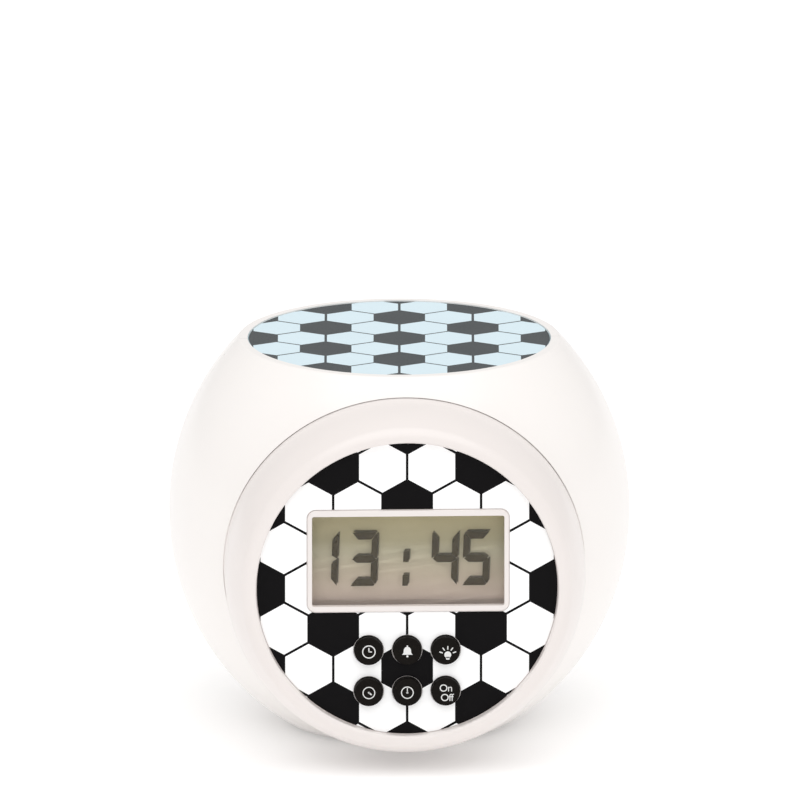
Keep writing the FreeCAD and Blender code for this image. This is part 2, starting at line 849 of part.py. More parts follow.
def lamp_board_screws():
    turn = FreeCAD.Rotation(FreeCAD.Vector(1, 0, 0), 180)
    length = dim.board_thickness + dim.lamp_screw_bite
    spots = [(x, y, lamp_board_top) for x, y in lamp_post_spots()]
    named(fused(*[screw(spot, length, turn) for spot in spots]), "lamp_board_screws")


def lamp(radius, length, spot=(0, 0, 0)):
    """A lamp with a collar and a domed lens."""
    collar = radius + dim.lamp_collar
    outline = [
        (0, 0), (collar, 0), (collar, dim.lamp_collar_height), (radius, dim.lamp_collar_height),
        (radius, length - radius, radius), (0, length),
    ]
    return place(turned(outline), spot)


def projector_led():
    named(lamp(dim.lamp_radius, dim.lamp_length), "projector_led", ball_point(0, 0, lamp_board_top))


def night_leds():
    spots = around(dim.night_lamp_reach, (30, 150, 270))
    lamps = [lamp(dim.night_lamp_radius, dim.night_lamp_length, (x, y, lamp_board_top)) for x, y in spots]
    named(fused(*lamps), "night_leds")


def picture_film():
    film = cylinder(lens_radius - dim.fit_gap, dim.film_thickness)
    named(film, "picture_film", ball_point(0, 0, lens_ledge))


def projection_lens():
    edge = dim.fit_gap * 2
    height = dim.lens_thickness
    outline = [
        (0, 0), (lens_radius, 0), (lens_radius, height - edge, edge),
        (lens_radius - edge, height), (0, height),
    ]
    named(turned(outline), "projection_lens", ball_point(0, 0, lens_ledge + dim.film_thickness))


def speaker():
    """A small loudspeaker: pressed frame, paper cone and magnet, facing the grille."""
    spot = ball_point(0, 0, dim.speaker_height)
    rim = dim.speaker_radius
    mouth = rim - dim.speaker_lip
    sheet = dim.speaker_sheet
    shelf = speaker_depth - sheet
    back = speaker_depth - dim.basket_depth
    frame = [
        (mouth, speaker_depth), (rim, speaker_depth), (rim, speaker_depth - dim.speaker_lip),
        (rim - sheet, speaker_depth - dim.speaker_lip), (dim.basket_radius, back), (dim.coil_radius, back),
        (dim.coil_radius, back + sheet), (dim.basket_radius - sheet / 2, back + sheet),
        (mouth - sheet / 2, shelf), (mouth, shelf),
    ]
    named(turned(frame), "speaker_frame", spot, BACKWARD)
    edge = mouth - dim.fit_gap
    paper = dim.paper_thickness
    pit = back + sheet + dim.cover_gap
    cone_outline = [
        (0, pit + dim.dust_rise), (dim.dust_radius, pit), (edge - dim.paper_edge, shelf), (edge, shelf),
        (edge, shelf + paper), (edge - dim.paper_edge, shelf + paper), (dim.dust_radius, pit + paper),
        (0, pit + dim.dust_rise + paper),
    ]
    named(turned(cone_outline), "speaker_cone", spot, BACKWARD)
    magnet_spot = ball_point(0, back - dim.magnet_thickness, dim.speaker_height)
    named(cylinder(dim.magnet_radius, dim.magnet_thickness), "speaker_magnet", magnet_spot, BACKWARD)


def cell_rows():
    return [cell_pitch * row - dim.bay_drop for row in (-1, 0, 1)]


def battery_cells():
    """Three cells side by side, the middle one the other way round."""
    half = dim.cell_length / 2
    cells = []
    for number, z in enumerate(cell_rows()):
        start = -half if number % 2 else dim.cell_nub - half
        tip = half - dim.cell_nub if number % 2 else -half
        cells.append(cylinder(dim.cell_radius, dim.cell_length - dim.cell_nub, (start, cell_depth, z),
                              SIDEWAYS))
        cells.append(cylinder(dim.nub_radius, dim.cell_nub, (tip, cell_depth, z), SIDEWAYS))
    named(fused(*cells), "battery_cells")


def contact_plate(side, z):
    """A square sheet metal plate against one end wall of the battery bay."""
    half = dim.contact_half
    far = bay_half_width * side
    near = far - dim.contact_plate * side
    low, high = (near, far) if side > 0 else (far, near)
    return block((low, cell_depth - half, z - half), (high, cell_depth + half, z + half))


def battery_contacts():
    """Sprung contacts at the flat ends of the cells and raised plates at their tips."""
    reach = dim.contact_room - dim.contact_plate - dim.glass_gap
    springs = []
    plates = []
    for number, z in enumerate(cell_rows()):
        tip_side = 1 if number % 2 else -1
        turn = FreeCAD.Rotation(FreeCAD.Vector(0, 1, 0), 90 * tip_side)
        back = FreeCAD.Rotation(FreeCAD.Vector(0, 1, 0), -90 * tip_side)
        face = bay_half_width - dim.contact_plate
        spring = cone(dim.spring_wide, dim.spring_narrow, reach, (-face * tip_side, cell_depth, z), turn)
        raised = cylinder(dim.contact_button, reach, (face * tip_side, cell_depth, z), back)
        springs.append(fused(contact_plate(-tip_side, z), spring))
        plates.append(fused(contact_plate(tip_side, z), raised))
    named(fused(*springs), "battery_springs")
    named(fused(*plates), "battery_plates")


def lead(across, route):
    """An insulated wire in an upright plane, along straight runs of (back, up) joined by arcs."""
    corners = [FreeCAD.Vector(across.value, back.value, up.value) for back, up in route]
    edges = []
    start = corners[0]
    for before, corner, after in zip(corners, corners[1:], corners[2:]):
        coming = (corner - before).normalize()
        going = (after - corner).normalize()
        half_turn = coming.getAngle(going) / 2
        trim = dim.lead_bend.value * math.tan(half_turn)
        near = corner - coming * trim
        far = corner + going * trim
        inward = (going - coming).normalize() * (dim.lead_bend.value * (1 / math.cos(half_turn) - 1))
        edges.append(Part.LineSegment(start, near).toShape())
        edges.append(Part.Arc(near, corner + inward, far).toShape())
        start = far
    edges.append(Part.LineSegment(start, corners[-1]).toShape())
    heading = corners[1] - corners[0]
    section = Part.Wire([Part.Circle(corners[0], heading, dim.lead_radius.value).toShape()])
    wire = doc.addObject("Part::Feature", "Lead")
    wire.Shape = Part.Wire(edges).makePipeShell([section], True, False)
    return wire


def lead_pair(label, across, route):
    """Two wires side by side on one route."""
    half = dim.lead_space / 2
    named(fused(lead(across - half, route), lead(across + half, route)), label)


def inner_leads():
    """From the main board's back to the lamp board, the loudspeaker and the battery bay."""
    start = -board_back
    level = lamp_board_top + dim.lamp_lead_rise
    route = [(start, level), (-dim.lamp_lead_back, level), (-dim.lamp_lead_back, lamp_board_top)]
    lead_pair("lamp_leads", dim.lamp_lead_across, route)
    basket = speaker_depth - dim.basket_depth
    seat = dim.speaker_height - (dim.magnet_radius + dim.basket_radius) / 2
    fall = basket - dim.lead_bend * 3
    level = seat - dim.speaker_lead_drop
    route = [(start, level), (fall, level), (fall, seat), (basket, seat)]
    lead_pair("speaker_leads", as_size(0), route)
    level = -dim.bay_drop + dim.bay_lead_drop
    lead_pair("bay_leads", dim.bay_lead_across, [(start, level), (bay_floor - dim.bay_wall, level)])


doc = FreeCAD.newDocument("projection_alarm_clock")
dim = Dimensions(make_sheet())
pieces = []

# Heights of the stack between the base and the lens, measured from the ball's centre.
ring_radius = dim.lip_radius + dim.ring_width
lens_stack = dim.ledge_thickness + dim.film_thickness + dim.lens_thickness + dim.lens_recess
body_height = dim.ring_lift + ring_radius * 2 + dim.ring_top_gap + lens_stack
ball_half_height = (body_height + dim.top_cut + dim.base_cut) / 2
top_height = ball_half_height - dim.top_cut
base_depth = ball_half_height - dim.base_cut
ring_drop = base_depth - dim.ring_lift - ring_radius
deck_bottom = top_height - lens_stack
lens_ledge = deck_bottom + dim.ledge_thickness
base_ledge = dim.base_thickness - base_depth
base_floor_top = base_depth - dim.base_thickness - dim.ledge_thickness
lamp_board_low = base_ledge + dim.lamp_post_height
lamp_board_top = lamp_board_low + dim.board_thickness
shell_screw_up = top_height - dim.shell_screw_drop

# Places of the main frames.
ball_y = (dim.ring_reach - dim.ball_radius) / 2
ball_z = base_depth + dim.foot_proud
face_z = ball_z - ring_drop
ball_centre = (0, ball_y, ball_z)
face_centre = (0, ball_y, face_z)

# Radii that follow the ball's outline.
lens_radius = ball_side(top_height) - dim.lens_margin
base_radius = ball_side(base_depth) - dim.base_margin
shell_screw_across = ball_side(shell_screw_up) - dim.shell_screw_inset

# The cover's seat in the mouth of the front half.
skirt_back = root(dim.ball_radius * dim.ball_radius - ring_radius * ring_radius) - dim.skirt_sink
flange_back = skirt_back - dim.flange_depth
cover_screw_reach = ring_radius - dim.wall - dim.flange_inset

# Depths of the stack behind the face.
face_depth = dim.ring_reach - dim.face_recess
face_back = face_depth - dim.face_thickness
rim_width = dim.display_width + dim.rim_side * 2
rim_height = dim.display_height + dim.rim_top * 2
pane_width = dim.display_width + dim.pane_margin * 2
pane_height = dim.display_height + dim.pane_margin * 2
glass_width = dim.display_width + dim.glass_side * 2
glass_rear_height = dim.display_height + dim.glass_top * 2
glass_front_height = glass_rear_height + dim.glass_step * 2
glass_front = face_back - dim.glass_gap
glass_middle = glass_front - dim.glass_thickness
glass_back = glass_middle - dim.glass_thickness
reflector_back = glass_back - dim.reflector_thickness
board_depth = reflector_back - dim.carrier_depth
board_back = board_depth - dim.board_thickness
board_radius = ring_radius - dim.wall - dim.board_gap
board_half_height = (board_radius - dim.board_post_inset) * sine(dim.board_post_angle) + dim.board_edge
switch_front = board_depth + dim.switch_height
plunger_front = switch_front + dim.plunger_proud
plunger_well = dim.plunger_seat + dim.button_travel + dim.plunger_gap
button_hole = dim.button_radius + dim.button_gap
button_flange = dim.button_radius + dim.flange_width
button_pitch = button_flange * 2 + dim.button_space
lower_row = dim.upper_row + button_flange * 2 + dim.row_space

# Loudspeaker, as near the wall as its upper edge allows.
speaker_top = dim.speaker_height + dim.speaker_radius
speaker_depth = ball_side(speaker_top, dim.wall) - dim.speaker_gap

# Battery bay and door, measured from the ball's centre.
cell_pitch = dim.cell_radius * 2 + dim.cell_space
cell_depth = dim.ball_radius - dim.cell_cover - dim.cell_radius
bay_half_width = dim.cell_length / 2 + dim.contact_room
bay_low = -dim.bay_drop - cell_pitch - dim.cell_radius - dim.glass_gap * 2
bay_high = -dim.bay_drop + cell_pitch + dim.cell_radius + dim.glass_gap * 2
bay_floor = cell_depth - dim.cell_radius - dim.glass_gap
door_low = bay_low - dim.door_low_lap
door_top = bay_high + dim.door_top_lap
lobe_up = door_top + dim.lobe_rise
door_boss_depth = dim.ball_radius - dim.door_boss_inset
door_screw_tip = dim.ball_radius - dim.door_screw_reach
door_head_seat = dim.ball_radius - dim.wall

ball_outer, ball_shell = hollow_ball()
ball_inner = spheroid(dim.wall, -base_floor_top, deck_bottom)

front_shell()
rear_shell()
front_cover()
face_overlay()
display_window()
lcd_glass()
lcd_reflector()
lcd_carrier()
lcd_zebra_strips()
main_board()
board_screws()
board_chip()
board_crystal()
tact_switches()
buttons()
cover_screws()
shell_screws()
base_plate()
base_screws()
base_feet()
lamp_board()
lamp_board_screws()
projector_led()
night_leds()
picture_film()
projection_lens()
speaker()
battery_cells()
battery_contacts()
battery_door()
battery_door_screw()
inner_leads()

doc.recompute()
for item in doc.Objects:
    if "Invalid" in item.State or "Error" in item.State:
        raise RuntimeError("%s (%s) failed: %s" % (item.Name, item.Label, item.State))
for piece in pieces:
    if piece.Shape.isNull() or not piece.Shape.isValid() or piece.Shape.Volume <= 0:
        raise RuntimeError("%s has no sound shape" % piece.Label)
os.makedirs("parts", exist_ok=True)
for piece in pieces:
    piece.Shape.exportStep("parts/%s.step" % piece.Label)
    print(piece.Label, len(piece.Shape.Solids), round(piece.Shape.Volume, 1))
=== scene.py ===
"""The looks of a ball shaped projection alarm clock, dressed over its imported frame.

Metres. X is to the right, Y to the back and Z up; the clock rests on Z = 0.
"""

import bmesh
import bpy
import math
from mathutils import Matrix, Vector


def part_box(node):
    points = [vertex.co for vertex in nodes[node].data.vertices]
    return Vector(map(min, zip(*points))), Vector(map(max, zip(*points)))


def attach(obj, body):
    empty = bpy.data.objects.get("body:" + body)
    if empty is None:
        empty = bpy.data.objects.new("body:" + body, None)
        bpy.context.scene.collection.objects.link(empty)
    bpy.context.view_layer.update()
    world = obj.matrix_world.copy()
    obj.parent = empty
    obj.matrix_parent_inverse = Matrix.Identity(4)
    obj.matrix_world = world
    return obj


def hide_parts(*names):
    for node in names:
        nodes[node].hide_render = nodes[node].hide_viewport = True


MM = 0.001

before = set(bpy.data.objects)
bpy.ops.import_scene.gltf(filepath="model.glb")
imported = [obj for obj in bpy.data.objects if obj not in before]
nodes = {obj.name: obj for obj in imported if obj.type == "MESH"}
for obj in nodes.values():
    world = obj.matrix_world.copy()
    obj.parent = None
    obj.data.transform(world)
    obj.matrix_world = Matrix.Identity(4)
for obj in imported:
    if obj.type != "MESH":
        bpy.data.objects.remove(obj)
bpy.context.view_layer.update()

# Where the frame puts the face, the display and the lit disc. The ball's middle is under the disc's.
BALL_HEIGHT = 61 * MM
overlay_low, overlay_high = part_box("face_overlay")
face = Vector(((overlay_low.x + overlay_high.x) / 2, overlay_low.y, (overlay_low.z + overlay_high.z) / 2))
film_low, film_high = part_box("picture_film")
disc = Vector(((film_low.x + film_high.x) / 2, (film_low.y + film_high.y) / 2, film_high.z))
window_low, window_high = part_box("display_window")
window = (window_low + window_high) / 2
reflector_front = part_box("lcd_reflector")[0].y
glass_low, glass_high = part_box("lcd_glass")
ball_centre = Vector((0, disc.y, BALL_HEIGHT))

# The photograph is 800 pixels square. The ball's centre lies this far from its top left corner.
PIXELS_PER_METRE = 3543
FRAME_PIXELS = 800
BALL_PIXEL = (399.3, 508)
CAMERA_HEIGHT_DEG = 14.3
CAMERA_TURN_DEG = -1.9
CAMERA_DISTANCE = 10.0

# The printed pattern: hexagons this far across, with dark lines between them.
HEX_PITCH = 13.83 * MM
HEX_LINE = 0.72 * MM
HEX_ROW_SHARE = math.sqrt(0.75)
SLAB_THICKNESS = 3 * MM

# Turns a flat drawing in X and Y to stand upright and face the viewer.
UPRIGHT = Matrix.Rotation(math.radians(90), 4, "X")


def link(piece):
    bpy.context.scene.collection.objects.link(piece)
    return piece


def mesh_of(piece):
    """The mesh that a curve, a word or a piece with a modifier comes to."""
    bpy.context.view_layer.update()
    return bpy.data.meshes.new_from_object(piece.evaluated_get(bpy.context.evaluated_depsgraph_get()))


# How far roughness drifts to either side, and how deep the finest grain is.
DRIFT_LOW = 0.85
DRIFT_HIGH = 1.15
GRAIN_DEPTH = 0.1 * MM
FINE_DETAIL = 4
SLOW_DETAIL = 2


def surface(name, colour, roughness, grain=1800, bump=0.04, tint=0.03, speckle=90, **sockets):
    """A moulded or printed surface: fine grain in the bump, slow drift in colour and roughness."""
    material = bpy.data.materials.new(name)
    material.use_nodes = True
    made = material.node_tree.nodes
    links = material.node_tree.links
    shader = made["Principled BSDF"]
    place = made.new("ShaderNodeTexCoord")
    fine = made.new("ShaderNodeTexNoise")
    fine.inputs["Scale"].default_value = grain
    fine.inputs["Detail"].default_value = FINE_DETAIL
    slow = made.new("ShaderNodeTexNoise")
    slow.inputs["Scale"].default_value = speckle
    slow.inputs["Detail"].default_value = SLOW_DETAIL
    for noise in (fine, slow):
        links.new(place.outputs["Object"], noise.inputs["Vector"])
    rough = made.new("ShaderNodeMapRange")
    rough.inputs["To Min"].default_value = roughness * DRIFT_LOW
    rough.inputs["To Max"].default_value = min(roughness * DRIFT_HIGH, 1)
    links.new(slow.outputs["Fac"], rough.inputs["Value"])
    links.new(rough.outputs["Result"], shader.inputs["Roughness"])
    relief = made.new("ShaderNodeBump")
    relief.inputs["Strength"].default_value = bump
    relief.inputs["Distance"].default_value = GRAIN_DEPTH
    links.new(fine.outputs["Fac"], relief.inputs["Height"])
    links.new(relief.outputs["Normal"], shader.inputs["Normal"])
    shader.inputs["Base Color"].default_value = (*colour, 1)
    if tint:
        drift = made.new("ShaderNodeMix")
        drift.data_type = "RGBA"
        drift.inputs["A"].default_value = (*[part * (1 - tint) for part in colour], 1)
        drift.inputs["B"].default_value = (*[min(part * (1 + tint), 1) for part in colour], 1)
        links.new(slow.outputs["Fac"], drift.inputs["Factor"])
        links.new(drift.outputs["Result"], shader.inputs["Base Color"])
    for socket, value in sockets.items():
        shader.inputs[socket.replace("_", " ")].default_value = value
    return material


def clear(name, colour, alpha, roughness=0.08):
    """A thin clear pane or a faint painted shadow, with the ripple of a moulded sheet."""
    material = surface(name, colour, roughness, grain=300, bump=0.01, tint=0,
                       Alpha=alpha, Specular_IOR_Level=0.2)
    material.surface_render_method = "BLENDED"
    return material


# The display's backing has a weak painted glow, and tones from the foot of the window to its top: olive grey
# with painted shade, darker in the upper part under the rim and in a band at the foot.
# Each tone goes with a share of the window's height.
DISPLAY_PAINTED_GLOW = 0.22
BACKING_TONES_PAINTED_SHADE = (
    (0.0, (0.46, 0.375, 0.34, 1)), (0.12, (0.58, 0.48, 0.40, 1)), (0.3, (0.495, 0.42, 0.32, 1)),
    (0.55, (0.415, 0.38, 0.265, 1)), (0.66, (0.345, 0.305, 0.185, 1)), (1.0, (0.43, 0.37, 0.20, 1)),
)


def reflector_sheet_painted_shade():
    """The sheet behind the display: olive grey above, warmer and lighter below, with painted shade darker
    above and at its foot, and a weak painted glow.
    """
    material = surface("display_backing", (0.5, 0.44, 0.32), 0.6, grain=4000, bump=0.05)
    made = material.node_tree.nodes
    links = material.node_tree.links
    place = made.new("ShaderNodeTexCoord")
    split = made.new("ShaderNodeSeparateXYZ")
    height = made.new("ShaderNodeMapRange")
    height.inputs["From Min"].default_value = window_low.z
    height.inputs["From Max"].default_value = window_high.z
    ramp = made.new("ShaderNodeValToRGB")
    stops = ramp.color_ramp.elements
    stops[0].color = BACKING_TONES_PAINTED_SHADE[0][1]
    stops[-1].position = BACKING_TONES_PAINTED_SHADE[-1][0]
    stops[-1].color = BACKING_TONES_PAINTED_SHADE[-1][1]
    for height_share, tone in BACKING_TONES_PAINTED_SHADE[1:-1]:
        stops.new(height_share).color = tone
    links.new(place.outputs["Object"], split.inputs["Vector"])
    links.new(split.outputs["Z"], height.inputs["Value"])
    links.new(height.outputs["Result"], ramp.inputs["Fac"])
    # The painted shade tones feed both the colour and the weak painted glow.
    for socket in ("Base Color", "Emission Color"):
        links.new(ramp.outputs["Color"], made["Principled BSDF"].inputs[socket])
    made["Principled BSDF"].inputs["Emission Strength"].default_value = DISPLAY_PAINTED_GLOW
    return material


CASING = (0.93, 0.895, 0.87)
# The ring's own tone is a little pinker than the casing's, and darker still overall as painted shade.
RING_TONE_AND_PAINTED_SHADE = (0.84, 0.785, 0.76)
casing_white = surface("casing_white", CASING, 0.32, bump=0.02, tint=0.006,
                       Coat_Weight=0.2, Coat_Roughness=0.2)
ring_white = surface("ring_white", RING_TONE_AND_PAINTED_SHADE, 0.34, bump=0.02, tint=0.006,
                     Coat_Weight=0.2, Coat_Roughness=0.2)
base_white = surface("base_white", (0.82, 0.80, 0.78), 0.6, bump=0.1, tint=0.01)
# The white print carries a faint painted glow, so it stays brighter than the lighting alone makes it.
print_white_painted_glow = surface("print_white_painted_glow", (0.98, 0.98, 0.98), 0.3, grain=900, bump=0.01, tint=0.004,
                      Emission_Color=(1, 1, 1, 1), Emission_Strength=0.07)
print_black = surface("print_black", (0.005, 0.0045, 0.005), 0.4, grain=900, bump=0.01,
                      Specular_IOR_Level=0.06)
# The pale film tiles carry a painted glow standing for the night lamps behind them, which give no light here.
film_pale_painted_glow = surface("film_pale_painted_glow", (0.56, 0.645, 0.685), 0.5, grain=900, bump=0.01, tint=0.03, speckle=40,
                     Emission_Color=(0.66, 0.90, 1.0, 1), Emission_Strength=0.2, Specular_IOR_Level=0.1)
film_dark = surface("film_dark", (0.049, 0.056, 0.060), 0.5, grain=900, bump=0.01, Specular_IOR_Level=0.1)
lens_clear = clear("lens_clear", (0.9, 0.97, 1.0), 0.03)
window_clear = clear("window_clear", (1, 1, 1), 0.015)
glass_clear = clear("display_glass", (0.80, 0.80, 0.70), 0.02)
segment_ink = surface("segment_ink", (0.042, 0.03, 0.012), 0.6, Specular_IOR_Level=0.1)
# Dark see-through copies of the figures: a painted shadow on the sheet behind them.
segment_painted_shadow = clear("segment_painted_shadow", (0.12, 0.10, 0.06), 0.26, 0.9)
button_black = surface("button_black", (0.008, 0.0065, 0.0055), 0.55, grain=2600, bump=0.5, tint=0.5,
                       speckle=2600, Specular_IOR_Level=0.06)
icon_white = surface("icon_white", (0.78, 0.78, 0.77), 0.5)
foot_rubber = surface("foot_rubber", (0.55, 0.54, 0.52), 0.8, bump=0.2)
board_green = surface("board_green", (0.02, 0.16, 0.06), 0.35, grain=500)
black_part = surface("black_part", (0.02, 0.02, 0.02), 0.45)
steel = surface("screw_steel", (0.62, 0.62, 0.63), 0.3, bump=0.08, Metallic=1.0)
nickel = surface("contact_nickel", (0.75, 0.73, 0.68), 0.25, bump=0.06, Metallic=1.0)
carrier_white = surface("carrier_white", (0.8, 0.8, 0.78), 0.5)
strip_rubber = surface("strip_rubber", (0.12, 0.12, 0.13), 0.8)
lamp_resin = surface("lamp_resin", (0.9, 0.9, 0.82), 0.15)
speaker_paper = surface("speaker_paper", (0.03, 0.03, 0.03), 0.9, grain=1200, bump=0.5)
cell_jacket = surface("cell_jacket", (0.05, 0.05, 0.06), 0.3)
lead_jacket = surface("lead_jacket", (0.45, 0.05, 0.04), 0.5)

DRESS = {
    "front_shell": casing_white, "rear_shell": casing_white, "battery_door": casing_white,
    "front_cover": ring_white, "display_window": window_clear, "lcd_glass": glass_clear,
    "lcd_reflector": reflector_sheet_painted_shade(), "lcd_carrier": carrier_white, "lcd_zebra_strips": strip_rubber,
    "main_board": board_green, "lamp_board": board_green, "tact_switches": black_part,
    "board_chip": black_part, "board_crystal": steel, "board_screws": steel, "cover_screws": steel,
    "shell_screws": steel, "base_screws": steel, "lamp_board_screws": steel, "battery_door_screw": steel,
    "base_plate": base_white, "base_feet": foot_rubber, "projector_led": lamp_resin,
    "night_leds": lamp_resin, "projection_lens": lens_clear, "speaker_frame": black_part,
    "speaker_cone": speaker_paper, "speaker_magnet": steel, "battery_cells": cell_jacket,
    "battery_springs": nickel, "battery_plates": nickel, "lamp_leads": lead_jacket,
    "speaker_leads": lead_jacket, "bay_leads": lead_jacket,
}
for key in ("time", "alarm", "light", "hour", "minute", "power"):
    DRESS[key + "_button"] = button_black
    DRESS[key + "_plunger"] = black_part


def dress_nodes():
    for name, material in DRESS.items():
        mesh = nodes[name].data
        mesh.materials.clear()
        mesh.materials.append(material)


# Points of a mesh that lie closer than this are one.
WELD_DISTANCE = 0.002 * MM


def whole_copy(node):
    """A closed copy of a node's mesh, with the points of neighbouring faces joined."""
    mesh = nodes[node].data.copy()
    shape = bmesh.new()
    shape.from_mesh(mesh)
    bmesh.ops.remove_doubles(shape, verts=shape.verts, dist=WELD_DISTANCE)
    shape.to_mesh(mesh)
    shape.free()
    mesh.materials.clear()
    return link(bpy.data.objects.new(node + "_copy", mesh))


def hexagon(centre, apothem):
    reach = apothem / math.cos(math.pi / 6)
    turns = [math.pi / 3 * number for number in range(6)]
    return [centre + Vector((math.sin(turn), math.cos(turn), 0)) * reach for turn in turns]


def hexagon_slab(name, radius, thickness, light, dark):
    """A slab under Z = 0 tiled with hexagons; one in three along each row is dark."""
    shape = bmesh.new()
    known = {}

    def corner(spot):
        key = (round(spot.x / MM, 3), round(spot.y / MM, 3))
        if key not in known:
            known[key] = shape.verts.new(spot)
        return known[key]

    rows = math.ceil(radius / HEX_PITCH) + 1
    for row in range(-rows, rows + 1):
        for column in range(-rows - 1, rows + 1):
            shift = 0.5 * (row % 2)
            centre = Vector(((column + shift) * HEX_PITCH, row * HEX_PITCH * HEX_ROW_SHARE, 0))
            if centre.length > radius + HEX_PITCH:
                continue
            outer = [corner(spot) for spot in hexagon(centre, HEX_PITCH / 2)]
            inner = [corner(spot) for spot in hexagon(centre, (HEX_PITCH - HEX_LINE) / 2)]
            shape.faces.new(inner[::-1]).material_index = int(column % 3 == row % 2)
            for number in range(6):
                after = (number + 1) % 6
                ring = (outer[after], outer[number], inner[number], inner[after])
                shape.faces.new(ring).material_index = 1
    moved = bmesh.ops.extrude_face_region(shape, geom=shape.faces[:])["geom"]
    under = [part for part in moved if isinstance(part, bmesh.types.BMVert)]
    bmesh.ops.translate(shape, verts=under, vec=(0, 0, -thickness))
    bmesh.ops.recalc_face_normals(shape, faces=shape.faces)
    mesh = bpy.data.meshes.new(name)
    shape.to_mesh(mesh)
    shape.free()
    mesh.materials.append(light)
    mesh.materials.append(dark)
    return link(bpy.data.objects.new(name, mesh))


# The face's print is a little flatter than true hexagons. A print starts this far under its surface.
FACE_PRINT_SQUEEZE = 0.975
PRINT_SKIN = 0.01 * MM

# The picture shows just under the top of the clear disc over it.
TOP_SKIN = 0.1 * MM
PICTURE_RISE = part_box("projection_lens")[1].z - film_high.z - TOP_SKIN


def printed_sheet(name, node, place, materials, rise=0):
    """Cut a hexagon slab to the outline of a CAD sheet, and let it stand for that sheet.

    The sheet's upper side is lifted by rise first.
    """
    low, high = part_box(node)
    radius = (high.x - low.x) / 2
    slab = hexagon_slab(name, radius, SLAB_THICKNESS, *materials)
    slab.data.transform(place)
    outline = whole_copy(node)
    for corner in outline.data.vertices:
        if corner.co.z > high.z - TOP_SKIN:
            corner.co.z += rise
    cutter = slab.modifiers.new("outline", "BOOLEAN")
    cutter.operation = "INTERSECT"
    cutter.solver = "EXACT"
    cutter.object = outline
    done = mesh_of(slab)
    slab.modifiers.clear()
    slab.data = done
    bpy.data.objects.remove(outline)
    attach(slab, "housing")
    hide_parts(node)
    return slab


def solid_from(name, outlines, thickness, place, material):
    """Thin raised print: each flat outline becomes a plate of the given thickness."""
    shape = bmesh.new()
    for outline in outlines:
        corners = [shape.verts.new((*spot, 0)) for spot in outline]
        shape.faces.new(corners)
    bmesh.ops.recalc_face_normals(shape, faces=shape.faces)
    moved = bmesh.ops.extrude_face_region(shape, geom=shape.faces[:])["geom"]
    top = [part for part in moved if isinstance(part, bmesh.types.BMVert)]
    bmesh.ops.translate(shape, verts=top, vec=(0, 0, thickness))
    bmesh.ops.recalc_face_normals(shape, faces=shape.faces)
    mesh = bpy.data.meshes.new(name)
    shape.to_mesh(mesh)
    shape.free()
    mesh.transform(place)
    mesh.materials.append(material)
    return link(bpy.data.objects.new(name, mesh))


# The display's figures, in millimetres from the middle of the window.
DIGIT_WIDTH = 7.35
DIGIT_HEIGHT = 15.5
DIGIT_RISE = -0.45
LEVEL_STROKE = 2.05
UPRIGHT_STROKE = 1.68
SLIT = 0.16
CORNER_CUT = 0.9
BAR_INSET = 0.35
LEAN = 0.035
RIGHT_EDGES = {"1": -19.7, "3": -8.6, "4": 14.0, "5": 22.8}
SEGMENTS = {"1": "bc", "3": "abcdg", "4": "bcfg", "5": "acdfg"}
# The two segments that meet at each outer corner of a figure.
CORNER_PAIRS = {(1, 1): "ab", (1, -1): "cd", (-1, 1): "af", (-1, -1): "de"}


def trim(outline, through, inward):
    """Keep the part of a flat outline that lies on the inward side of a line."""
    kept = []
    for start, end in zip(outline, outline[1:] + outline[:1]):
        here = (start - through).dot(inward)
        there = (end - through).dot(inward)
        if here >= 0:
            kept.append(start)
        if here * there < 0:
            kept.append(start + (end - start) * here / (here - there))
    return kept


def segment_outlines():
    """The seven segments of a figure about its middle, with mitred ends and slits between them."""
    side = DIGIT_WIDTH / 2
    top = DIGIT_HEIGHT / 2
    inner = side - UPRIGHT_STROKE
    under = top - LEVEL_STROKE
    half = LEVEL_STROKE / 2
    level = [(-side + SLIT, top), (side - SLIT, top), (inner - SLIT, under), (-inner + SLIT, under)]
    right = [(side, top - SLIT), (side, SLIT), (inner, half + SLIT), (inner, under - SLIT)]
    tip = side - BAR_INSET
    middle = [(-tip, 0), (-inner, half), (inner, half), (tip, 0), (inner, -half), (-inner, -half)]
    turned = {
        "a": (level, 1, 1), "b": (right, 1, 1), "c": (right, 1, -1), "d": (level, 1, -1),
        "e": (right, -1, -1), "f": (right, -1, 1), "g": (middle, 1, 1),
    }
    return {name: [Vector((x * across, z * up)) for x, z in outline]
            for name, (outline, across, up) in turned.items()}


def figure(character):
    """The lit segments of one figure. An outer corner between two of them is cut off."""
    lit = SEGMENTS[character]
    outlines = segment_outlines()
    for (across, up), pair in CORNER_PAIRS.items():
        if pair[0] in lit and pair[1] in lit:
            through = Vector((across * (DIGIT_WIDTH / 2 - CORNER_CUT), up * DIGIT_HEIGHT / 2))
            for name in pair:
                outlines[name] = trim(outlines[name], through, Vector((-across, -up)))
    middle = RIGHT_EDGES[character] - DIGIT_WIDTH / 2
    return [[spot + Vector((middle, 0)) for spot in outlines[name]] for name in lit]


# The two marks between the hours and the minutes: width, height, and each one's middle.
COLON_SIZE = (1.55, 3.1)
COLON_SPOTS = ((-0.5, 0.68), (-0.5, -6.2))
SQUARE_CORNERS = ((-1, -1), (1, -1), (1, 1), (-1, 1))

# The figures' thickness, and for each painted soft shadow its shift up and to the right on the sheet.
FIGURE_THICKNESS = 0.05 * MM
SHADE_SHIFTS = (0.25 * MM, 0.5 * MM)
SHADE_THICKNESS = 0.02 * MM
SHADE_STEP = 0.08 * MM


